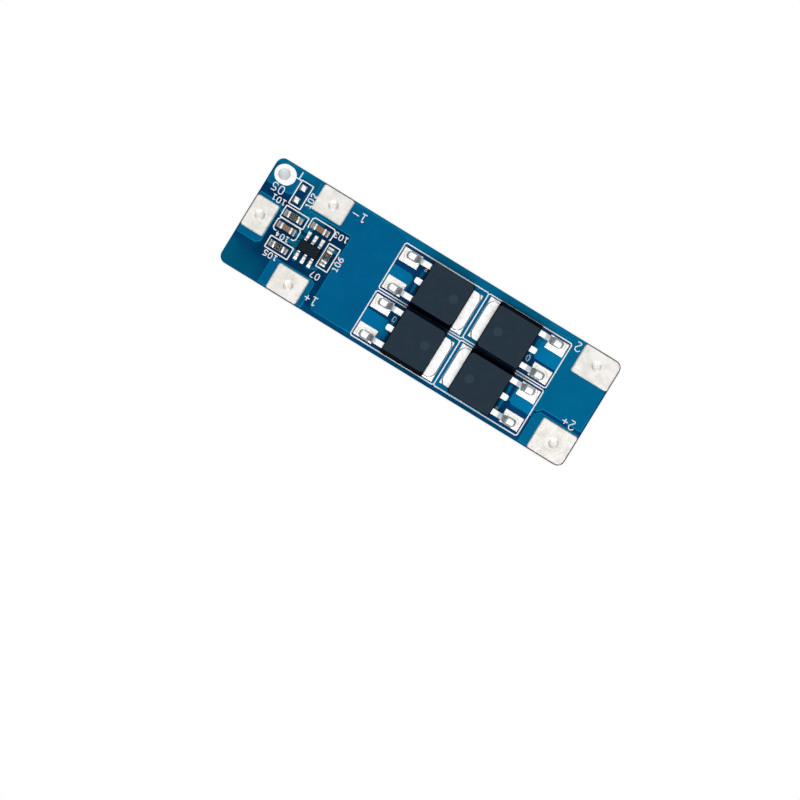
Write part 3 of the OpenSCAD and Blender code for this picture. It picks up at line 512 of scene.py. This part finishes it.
def round_top_corners(bm, side, radius):
    """Rounds a moulded body's two upper corners on its +X (side 1) or -X (side -1) end."""
    top = max(v.co.z for v in bm.verts)
    lines = []
    for across in (-1, 1):
        corner = max((v for v in bm.verts if v.co.z > top - CLOSE),
                     key=lambda v: side * v.co.x + across * v.co.y)
        foot = min((e.other_vert(corner) for e in corner.link_edges), key=lambda v: v.co.z)
        lines.append((across, corner.co.copy(), (foot.co - corner.co).normalized()))
    for across, corner, down in lines:
        for turn in (math.radians(22.5), math.radians(45), math.radians(67.5)):
            out = Vector((side * math.cos(turn), across * math.sin(turn), 0))
            inset = radius * (math.cos(turn) + math.sin(turn) - 1)
            cut = sliced(bm, corner - out * inset, (out - down * out.dot(down)).normalized(),
                         clear_outer=True)
            rim = [e for e in cut if isinstance(e, bmesh.types.BMEdge)]
            bmesh.ops.contextual_create(bm, geom=rim)
    bm.normal_update()


def rounded(node, radius, segments=2, angle=25, material=None, shape=None):
    """Stands for a CAD node with its edges rounded off by radius millimetres.

    shape changes the sharp mesh first.
    """
    bm = node_bmesh(node)
    if shape:
        shape(bm)
    bevel(bm, sharp_edges(bm, angle), radius, segments)
    piece = new_piece(node + "_rounded", bm, SLOT_OF[node], material)
    modifier = piece.modifiers.new("flat_faces_stay_flat", "WEIGHTED_NORMAL")
    modifier.keep_sharp = True
    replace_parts(piece, node)


def flat_dimple(bm):
    """Steepens a tab's dimple and levels its bottom, as a blunt electrode leaves it."""
    steeper = 2.2
    depth = 0.085
    above_base = 0.01
    top = max(v.co.z for v in bm.verts)
    low = min(v.co.z for v in bm.verts)
    for vert in bm.verts:
        if low + above_base < vert.co.z < top:
            vert.co.z = top - min(depth, (top - vert.co.z) * steeper)


def top_outlines(bm, top):
    """The closed outlines of a mesh's level faces at that height, each with the face on its left."""
    level = {f for f in bm.faces
             if f.normal.z > LEVEL and f.calc_center_median().z > top - CLOSE}
    following = {}
    for face in level:
        for loop in face.loops:
            if len(level.intersection(loop.edge.link_faces)) == 1:
                following.setdefault(loop.vert, []).append(loop.link_loop_next.vert)
    outlines = []
    while following:
        start = next(iter(following))
        outline = []
        vert = start
        while vert in following:
            outline.append(Vector((vert.co.x, vert.co.y)))
            ways = following[vert]
            onward = ways.pop()
            if not ways:
                del following[vert]
            vert = onward
        outlines.append(outline)
    return outlines


def stepped(node, slope_w):
    """Stands for masked copper: the mask runs out past its edges in a slope that wide."""
    rows = 6
    sunk = 0.002
    steepness = 3.5
    longest = 1.4
    bm = node_bmesh(node)
    top = max(v.co.z for v in bm.verts)
    drop = top - CORE_TOP + sunk
    for outline in top_outlines(bm, top):
        grid = []
        for before, here, after in zip(outline[-1:] + outline[:-1], outline, outline[1:] + outline[:1]):
            a, b = (here - before).normalized(), (after - here).normalized()
            out = Vector((a.y, -a.x)) + Vector((b.y, -b.x))
            out = out.normalized() * min(longest, 2 / max(out.length, 0.1))
            column = []
            for k in range(rows):
                t = k / (rows - 1)
                place = here + out * slope_w * t
                left = (math.exp(-steepness * t) - math.exp(-steepness)) / (1 - math.exp(-steepness))
                column.append(bm.verts.new((place.x, place.y, top - drop * (1 - left))))
            grid.append(column)
        for one, other in zip(grid, grid[1:] + grid[:1]):
            for k in range(rows - 1):
                bm.faces.new((one[k], one[k + 1], other[k + 1], other[k]))
    piece = new_piece(node + "_stepped", bm, SLOT_OF[node])
    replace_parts(piece, node)


def board_top():
    """A function that gives the height of the board's masked top at a place on it."""
    verts, faces = [], []
    for name in ("laminate", "top_pours_stepped", "masked_tracks_stepped"):
        mesh = bpy.data.objects[name].data
        first = len(verts)
        verts += [v.co / MM for v in mesh.vertices]
        faces += [[first + i for i in polygon.vertices] for polygon in mesh.polygons]
    tree = BVHTree.FromPolygons(verts, faces)
    def height(x, y):
        place = tree.ray_cast(Vector((x, y, CORE_TOP + 1)), Vector((0, 0, -1)))[0]
        return place.z if place else CORE_TOP
    return height


def draped(node, surface, shape):
    """Stands for printed lines: cut into short lengths, whose tops follow the mask below.

    shape changes the cut mesh first.
    """
    cell = 0.3
    bm = welded(node)
    low, high = box_mm(node)
    for axis in (0, 1):
        across = Vector((axis == 0, axis == 1, 0))
        for k in range(1, math.ceil((high[axis] - low[axis]) / cell)):
            sliced(bm, across * (low[axis] + k * cell), across)
    shape(bm)
    bm.normal_update()
    for vert in {v for face in bm.faces if face.normal.z > LEVEL for v in face.verts}:
        vert.co.z = max(vert.co.z, surface(vert.co.x, vert.co.y) + INK_RISE)
    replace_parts(new_piece(node + "_draped", bm, SLOT_OF[node]), node)


def share_line(bm):
    """Thins the line that the frames of the first resistor and capacitor have in common."""
    x0, x1 = -20.95, -18.15
    y0, y1 = 0.8, 0.92
    for vert in bm.verts:
        if x0 < vert.co.x < x1 and y0 < vert.co.y < y1:
            vert.co.y = y1
    bmesh.ops.dissolve_degenerate(bm, dist=WELD, edges=bm.edges)


# ---------------------------------------------------------------- solder

def islands(node):
    """The separate solids of a node, each as its list of points in millimetres."""
    bm = node_bmesh(node)
    bm.verts.ensure_lookup_table()
    left = set(bm.verts)
    found = []
    while left:
        reached = [left.pop()]
        points = []
        while reached:
            vert = reached.pop()
            points.append(vert.co.copy())
            for edge in vert.link_edges:
                other = edge.other_vert(vert)
                if other in left:
                    left.remove(other)
                    reached.append(other)
        found.append(points)
    bm.free()
    return found


def plan_box(points):
    """Lowest x, highest x, lowest y and highest y of the points."""
    xs = [p.x for p in points]
    ys = [p.y for p in points]
    return min(xs), max(xs), min(ys), max(ys)


def footprint(points):
    """The convex outline, anticlockwise, of what a solid stands on."""
    layer = 0.01
    base = min(p.z for p in points)
    low = [Vector((p.x, p.y)) for p in points if p.z < base + layer]
    return [low[i] for i in convex_hull_2d(low)]


def outside(x, y, shape):
    """Distance from a point to a convex outline, 0 inside it."""
    point = Vector((x, y))
    nearest = math.inf
    beyond = False
    for a, b in zip(shape, shape[1:] + shape[:1]):
        along = b - a
        t = min(1.0, max(0.0, (point - a).dot(along) / along.length_squared))
        nearest = min(nearest, (point - a - along * t).length)
        beyond = beyond or (point - a).dot(Vector((along.y, -along.x))) > 0
    return nearest if beyond else 0.0


def eased(shape, radius):
    """The convex outline with each corner rounded, as far as its sides allow."""
    steps = 4
    most = 0.45
    out = []
    for before, corner, after in zip(shape[-1:] + shape[:-1], shape, shape[1:] + shape[:1]):
        back = (before - corner).length
        ahead = (after - corner).length
        a = corner.lerp(before, min(radius / back, most))
        b = corner.lerp(after, min(radius / ahead, most))
        for k in range(steps + 1):
            t = k / steps
            out.append(a.lerp(corner, t).lerp(corner.lerp(b, t), t))
    return out


def overlap(a, b):
    """Whether two plan boxes overlap."""
    return a[0] < b[1] and b[0] < a[1] and a[2] < b[3] and b[2] < a[3]


def ripple(x, y, size, depth):
    """A slow unevenness of solder, up to depth either way."""
    return noise.noise(Vector((x / size, y / size, 3.7))) * depth


def rim_fall(x, y, region, width):
    """1 inside the region, falling in a quarter round to 0 at its rim."""
    x0, x1, y0, y1 = region
    t = min(1.0, max(0.0, min(x - x0, x1 - x, y - y0, y1 - y) / width))
    return math.sqrt(max(0.0, 1 - (1 - t) ** 2))


def meniscus(region, shape, rise, reach, pool):
    """Height of solder over a pad's top.

    It climbs the outline shape by rise, thins out with reach, and ends in a pool round the shape.
    """
    pool_edge = 0.14
    pool_depth = 0.022
    skin_depth = 0.03
    def height(x, y):
        d = outside(x, y, shape)
        climb = rise * math.exp(-((d / reach) ** 1.2))
        t = min(1.0, max(0.0, (d - pool) / pool_edge))
        spread = pool_depth * (1 - t * t * (3 - 2 * t))
        skin = skin_depth + ripple(x, y, size=0.6, depth=0.006)
        return (climb + spread + skin) * rim_fall(x, y, region, width=0.1)
    return height


def pillow(region, rise):
    """Height of the dome that solder forms on an empty pad."""
    x0, x1, y0, y1 = region
    def height(x, y):
        u = (2 * x - x0 - x1) / (x1 - x0)
        v = (2 * y - y0 - y1) / (y1 - y0)
        return rise * math.sqrt(max(0.0, (1 - u ** 4) * (1 - v ** 4)))
    return height


def solder_sheet(bm, region, height, cell=0.025):
    """A closed sheet over a plan box, whose top stands height(x, y) over the pads."""
    sunk = 0.02
    least = 4
    x0, x1, y0, y1 = region
    nx = max(least, round((x1 - x0) / cell))
    ny = max(least, round((y1 - y0) / cell))
    rows = []
    for j in range(ny + 1):
        y = y0 + (y1 - y0) * j / ny
        xs = [x0 + (x1 - x0) * i / nx for i in range(nx + 1)]
        rows.append([bm.verts.new((x, y, PAD_TOP + height(x, y))) for x in xs])
    for j in range(ny):
        for i in range(nx):
            bm.faces.new((rows[j][i], rows[j][i + 1], rows[j + 1][i + 1], rows[j + 1][i]))
    right = [row[-1] for row in rows[1:-1]]
    left = [row[0] for row in rows[-2:0:-1]]
    rim = rows[0] + right + rows[-1][::-1] + left
    foot = [bm.verts.new((v.co.x, v.co.y, PAD_TOP - sunk)) for v in rim]
    for k in range(len(rim)):
        n = (k + 1) % len(rim)
        bm.faces.new((rim[n], rim[k], foot[k], foot[n]))
    bm.faces.new(foot[::-1])


def longer(shape, toward, extra):
    """The outline with its end nearest to x = toward moved out by extra."""
    margin = 0.1
    limit = min(abs(p.x - toward) for p in shape) + margin
    step = math.copysign(extra, toward - shape[0].x)
    return [Vector((p.x + step, p.y)) if abs(p.x - toward) < limit else p for p in shape]


TOE_R = 0.3
HEEL = 0.45
PLATE_R = 0.4
PLATE_PAD_LEAST_W = 3


def transistor_menisci(name):
    """The solder that wets a transistor's two feet and the edge of its drain plate."""
    hidden = 0.6
    bm = bmesh.new()
    body = plan_box(islands(name + "_body")[0])
    middle = (body[0] + body[1]) / 2
    feet = [eased(longer(footprint(islands(name + lead)[0]), middle, HEEL), TOE_R)
            for lead in ("_gate_lead", "_source_lead")]
    plate = eased(footprint(islands(name + "_drain_plate")[0]), PLATE_R)
    for pad in islands(name + "_pads"):
        x0, x1, y0, y1 = plan_box(pad)
        if y1 - y0 < PLATE_PAD_LEAST_W:
            region = (x0, x1, y0, y1)
            foot = min(feet, key=lambda f: abs(sum(p.y for p in f) / len(f) - (y0 + y1) / 2))
            solder_sheet(bm, region, meniscus(region, foot, rise=0.3, reach=0.08, pool=0.42))
        else:
            region = (x0, body[0] + hidden, y0, y1)
            if x1 > body[1]:
                region = (body[1] - hidden, x1, y0, y1)
            solder_sheet(bm, region, meniscus(region, plate, rise=0.3, reach=0.06, pool=0.4))
    piece = new_piece(name + "_menisci", bm, "solder", smooth=70)
    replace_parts(piece, name + "_solder")


def signal_menisci():
    """The joints of the chip parts and the controller, and the domes on the empty pads."""
    pins = [footprint(points) for points in islands("controller_leads")]
    ends = [footprint(points) for part in RESISTORS + CAPACITORS
            for points in islands(part + "_terminals")]
    chip_bm = bmesh.new()
    pin_bm = bmesh.new()
    for pad in islands("signal_pads"):
        region = plan_box(pad)
        under = [shape for shape in pins + ends if overlap(region, plan_box(shape))]
        if not under:
            solder_sheet(chip_bm, region, pillow(region, rise=0.22), cell=0.03)
        elif under[0] in pins:
            solder_sheet(pin_bm, region, meniscus(region, under[0], rise=0.16, reach=0.2, pool=0.6))
        else:
            solder_sheet(chip_bm, region, meniscus(region, under[0], rise=0.36, reach=0.2, pool=0.6))
    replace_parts(new_piece("chip_menisci", chip_bm, "solder", smooth=70), "chip_solder")
    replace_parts(new_piece("controller_menisci", pin_bm, "solder", smooth=70), "controller_solder")


# ---------------------------------------------------------------- the board

stepped("top_pours", slope_w=0.15)
stepped("masked_tracks", slope_w=0.09)
for node in ("laminate", "bottom_pours", "signal_pads"):
    CAD[node].data.materials.clear()
    CAD[node].data.materials.append(MATERIALS[SLOT_OF[node]])
top_height = board_top()
draped("legend_frames", top_height, share_line)
rounded("wire_hole_plating", 0.05, 3)
for tab in TABS:
    material = SCRATCHED_NICKEL if tab == "battery_minus_tab" else None
    rounded(tab, 0.05, 3, angle=15, material=material, shape=flat_dimple)
    rounded(tab + "_pad", 0.03)


# ---------------------------------------------------------------- the parts

BODY_CORNER_R = 0.45
PLATE_CORNER_R = 0.25
TOE_L = 0.05  # how far from a lead's tip a corner counts as part of its toe

for name in TRANSISTORS:
    low, high = box_mm(name + "_body")
    plate_side = 1 if box_mm(name + "_gate_lead")[0].x < low.x else -1
    rounded(name + "_body", 0.07, 3,
            shape=lambda bm, side=plate_side: round_top_corners(bm, side, BODY_CORNER_R))
    rounded(name + "_drain_plate", 0.06, 3, shape=lambda bm: turn_corners(bm, PLATE_CORNER_R))
    for lead in ("_gate_lead", "_source_lead"):
        ends = box_mm(name + lead)
        toe = ends[0].x if ends[0].x < low.x else ends[1].x
        rounded(name + lead, 0.06, 3,
                shape=lambda bm, toe=toe: turn_corners(bm, TOE_R, lambda x: abs(x - toe) < TOE_L))
    rounded(name + "_pads", 0.04)
    transistor_menisci(name)
rounded("controller_body", 0.04)
rounded("controller_leads", 0.03)
for name in RESISTORS:
    rounded(name + "_body", 0.02)
    rounded(name + "_glaze", 0.012)
    rounded(name + "_terminals", 0.03)
for name in CAPACITORS:
    rounded(name + "_body", 0.05, 3)
    rounded(name + "_terminals", 0.05, 3)
signal_menisci()


# ---------------------------------------------------------------- plain digits and signs

# Strokes of each sign, one unit high; a stroke that ends where it starts is closed.
GLYPHS = {
    "0": [[(0, .2), (0, .8), (.15, 1), (.45, 1), (.6, .8), (.6, .2), (.45, 0), (.15, 0), (0, .2)]],
    "1": [[(.1, .8), (.35, 1), (.35, 0)], [(.1, 0), (.6, 0)]],
    "2": [[(0, .8), (.15, 1), (.45, 1), (.6, .8), (.6, .6), (0, 0), (.6, 0)]],
    "3": [[(0, .85), (.15, 1), (.45, 1), (.6, .85), (.6, .65), (.42, .52), (.25, .52)],
          [(.42, .52), (.6, .38), (.6, .15), (.45, 0), (.15, 0), (0, .15)]],
    "4": [[(.45, 0), (.45, 1), (0, .3), (.6, .3)]],
    "5": [[(.6, 1), (.05, 1), (0, .55), (.4, .6), (.6, .42), (.6, .15), (.45, 0), (.15, 0), (0, .15)]],
    "6": [[(.55, 1), (.2, .85), (0, .5), (0, .15), (.15, 0), (.45, 0), (.6, .15), (.6, .4), (.45, .55),
           (.15, .55), (0, .4)]],
    "7": [[(0, 1), (.6, 1), (.2, 0)]],
    "+": [[(.3, .1), (.3, .9)], [(-.1, .5), (.7, .5)]],
    "-": [[(-.1, .5), (.7, .5)]],
}
GLYPH_W = 0.6


def softened(points, closed):
    """The line with its corners cut twice, which leaves them round; open ends stay."""
    for _ in range(2):
        pairs = list(zip(points, points[1:] + points[:1] if closed else points[1:]))
        cut = []
        for k, (a, b) in enumerate(pairs):
            start = 0.0 if k == 0 and not closed else 0.25
            end = 1.0 if k == len(pairs) - 1 and not closed else 0.75
            cut += [a.lerp(b, start), a.lerp(b, end)]
        points = cut
    return points


def finely(points, closed, step):
    """The line with points at most step apart."""
    out = []
    for a, b in zip(points, points[1:] + points[:1] if closed else points[1:]):
        count = max(1, math.ceil((b - a).length / step))
        out += [a.lerp(b, k / count) for k in range(count)]
    return out if closed else out + [points[-1]]


def ribbon(bm, points, closed, width, surface, thickness):
    """A printed line: flat, crowned in the middle, narrower at its ends, laid on surface(x, y)."""
    end_share = 0.35
    if not closed:
        ends = []
        for tip, before in ((points[0], points[1]), (points[-1], points[-2])):
            ends.append(tip + (tip - before).normalized() * width * end_share)
        points = [ends[0]] + points + [ends[1]]
    count = len(points)
    rows = []
    for k, point in enumerate(points):
        before = points[(k - 1) % count] if closed or k else point
        after = points[(k + 1) % count] if closed or k < count - 1 else point
        across = Vector((before.y - after.y, after.x - before.x)).normalized()
        half = width / 2 * (1 if closed or 0 < k < count - 1 else end_share)
        row = []
        for share, rise in ((-1, -1), (-0.8, 0.8), (0, 1), (0.8, 0.8), (1, -1)):
            place = point + across * half * share
            row.append(bm.verts.new((place.x, place.y, surface(place.x, place.y) + rise * thickness)))
        rows.append(row)
    runs = zip(rows, rows[1:] + rows[:1]) if closed else zip(rows, rows[1:])
    for a, b in runs:
        for k in range(4):
            bm.faces.new((a[k], a[k + 1], b[k + 1], b[k]))
    if not closed:
        bm.faces.new(rows[0])
        bm.faces.new(rows[-1][::-1])


def write(bm, text, middle, height, turn, surface, stroke, spread=0.36, thickness=INK_RISE):
    """Writes digits and signs of that height in millimetres, centred on middle, turned in degrees.

    spread is the space between two signs, as a share of their height.
    """
    pitch = GLYPH_W + spread
    span = pitch * len(text) - spread
    turned = Matrix.Rotation(math.radians(turn), 2)
    for k, sign in enumerate(text):
        for line in GLYPHS[sign]:
            closed = line[0] == line[-1]
            corners = line[:-1] if closed else line
            points = [Vector((x + k * pitch - span / 2, y - 0.5)) for x, y in corners]
            points = [turned @ (p * height) + Vector(middle) for p in softened(points, closed)]
            ribbon(bm, finely(points, closed, step=0.08), closed, stroke, surface, thickness)


# Each text with its middle, its height and its turn in degrees.
PART_NUMBERS = [
    ("101", (-22.3, 2.68), 0.72, 180), ("102", (-18.83, 4.65), 0.72, 90),
    ("103", (-13.25, 2.7), 0.72, 180), ("104", (-19.55, -1.05), 0.7, 180),
    ("105", (-19.62, -3.78), 0.7, 180), ("106", (-11.88, -0.38), 0.72, 90),
    ("07", (-13.6, -3.02), 0.76, 180),
]
TERMINAL_SIGNS = [
    ("05", (-23.15, 3.88), 1.0, 180), ("-", (-13.2, 6.15), 1.0, 180), ("1", (-12.12, 6.15), 1.15, 180),
    ("+", (-12.95, -5.85), 0.8, 180), ("1", (-11.97, -5.87), 1.15, 180), ("2", (19.07, 6.52), 1.15, 180),
    ("+", (22.45, -2.22), 0.8, 180), ("2", (23.47, -2.22), 1.15, 180),
]
RINGS = [((-2.11, 4.76), 0.36), ((-2.3, -2.5), 0.66), ((14.38, 2.1), 0.7), ((14.3, -5.3), 0.36)]
RESISTOR_NUMBERS = ["510", "242", "620"]

ink = bmesh.new()
for text, middle, height, turn in PART_NUMBERS + TERMINAL_SIGNS:
    write(ink, text, middle, height, turn, top_height, stroke=0.15)
for middle, height in RINGS:
    write(ink, "0", middle, height, 0, top_height, stroke=0.12)
new_piece("printed_numbers", ink, "white_ink", smooth=70)

values = bmesh.new()
for name, text in zip(RESISTORS, RESISTOR_NUMBERS):
    low, high = box_mm(name + "_glaze")
    middle = ((low.x + high.x) / 2, (low.y + high.y) / 2)
    turn = 90 if high.y - low.y > high.x - low.x else 180
    write(values, text, middle, 0.38, turn, lambda x, y, top=high.z: top,
          stroke=0.04, spread=0.22, thickness=0.008)
grey_ink = ceramic_material("grey_ink", srgb(200, 204, 202), srgb(168, 172, 170))
new_piece("resistor_numbers", values, "white_ink", material=grey_ink, smooth=70)


# ---------------------------------------------------------------- floor, light and camera

def floor():
    """A pale floor: lit like any surface, but seen plain white apart from the board's own shade."""
    size = 3.0
    below_board = 0.03
    bm = bmesh.new()
    bmesh.ops.create_grid(bm, x_segments=8, y_segments=8, size=size / 2)
    mesh = bpy.data.meshes.new("floor")
    bm.to_mesh(mesh)
    bm.free()
    piece = bpy.data.objects.new("floor", mesh)
    piece.location.z = -below_board * MM
    bpy.context.scene.collection.objects.link(piece)
    shader = Shader("white_floor", roughness=0.9, specular=0.0)
    shader.colour(srgb(232, 238, 246))
    path = shader.nodes.new("ShaderNodeLightPath")
    mirrored = shader.math(
        "MAXIMUM", path.outputs["Is Glossy Ray"], path.outputs["Is Transmission Ray"])
    seen = shader.math("MAXIMUM", path.outputs["Is Camera Ray"], mirrored)
    openness = shader.nodes.new("ShaderNodeAmbientOcclusion")
    openness.inputs["Distance"].default_value = 1.5 * MM
    share = shader.range(openness.outputs["AO"], 0.2, 0.62, 0.05, 1.0)
    glow = shader.nodes.new("ShaderNodeEmission")
    blend = shader.nodes.new("ShaderNodeMixShader")
    shader.links.new(shader.math("MULTIPLY", seen, share), blend.inputs[0])
    shader.links.new(shader.bsdf.outputs[0], blend.inputs[1])
    shader.links.new(glow.outputs[0], blend.inputs[2])
    shader.links.new(blend.outputs[0], shader.nodes["Material Output"].inputs["Surface"])
    mesh.materials.append(shader.material)


def softbox(name, azimuth, from_vertical, distance, size, power):
    """A square lamp aimed at the board, in degrees, metres and watts; azimuth runs from +X to +Y."""
    lamp = bpy.data.lights.new(name, "AREA")
    lamp.shape = "SQUARE"
    lamp.size = size
    lamp.energy = power
    light = bpy.data.objects.new(name, lamp)
    tilt = math.radians(from_vertical)
    turn = math.radians(azimuth)
    place = Vector((math.sin(tilt) * math.cos(turn), math.sin(tilt) * math.sin(turn), math.cos(tilt)))
    light.location = place * distance
    light.rotation_euler = place.to_track_quat("Z", "Y").to_euler()
    bpy.context.scene.collection.objects.link(light)


floor()
softbox("overhead", azimuth=0, from_vertical=0, distance=1.2, size=0.9, power=1.9)
softbox("key", azimuth=-60, from_vertical=33, distance=0.9, size=0.6, power=3.6)
softbox("fill", azimuth=120, from_vertical=40, distance=1.0, size=0.6, power=2.4)

world = bpy.data.worlds.new("studio")
bpy.context.scene.world = world
world.use_nodes = True
world.node_tree.nodes["Background"].inputs["Color"].default_value = (1, 1, 1, 1)
world.node_tree.nodes["Background"].inputs["Strength"].default_value = 0.22
bpy.context.scene.view_settings.view_transform = "Standard"

# The camera looks straight down on the board, which lies turned in the view and above its middle.
VIEW_TURN = math.radians(31.47)
VIEW_W = 99.53
BOARD_RIGHT = 2.56
BOARD_UP = 10.96
SENSOR = 36.0
CAMERA_HEIGHT = 500.0
right = Vector((math.cos(VIEW_TURN), math.sin(VIEW_TURN), 0))
up = Vector((-math.sin(VIEW_TURN), math.cos(VIEW_TURN), 0))
lens = bpy.data.cameras.new("camera")
lens.sensor_width = SENSOR
lens.lens = SENSOR * (CAMERA_HEIGHT - CORE_TOP) / VIEW_W
camera = bpy.data.objects.new("camera", lens)
camera.location = (Vector((0, 0, CAMERA_HEIGHT)) - right * BOARD_RIGHT - up * BOARD_UP) * MM
camera.rotation_euler = (0, 0, VIEW_TURN)
bpy.context.scene.collection.objects.link(camera)
bpy.context.scene.camera = camera
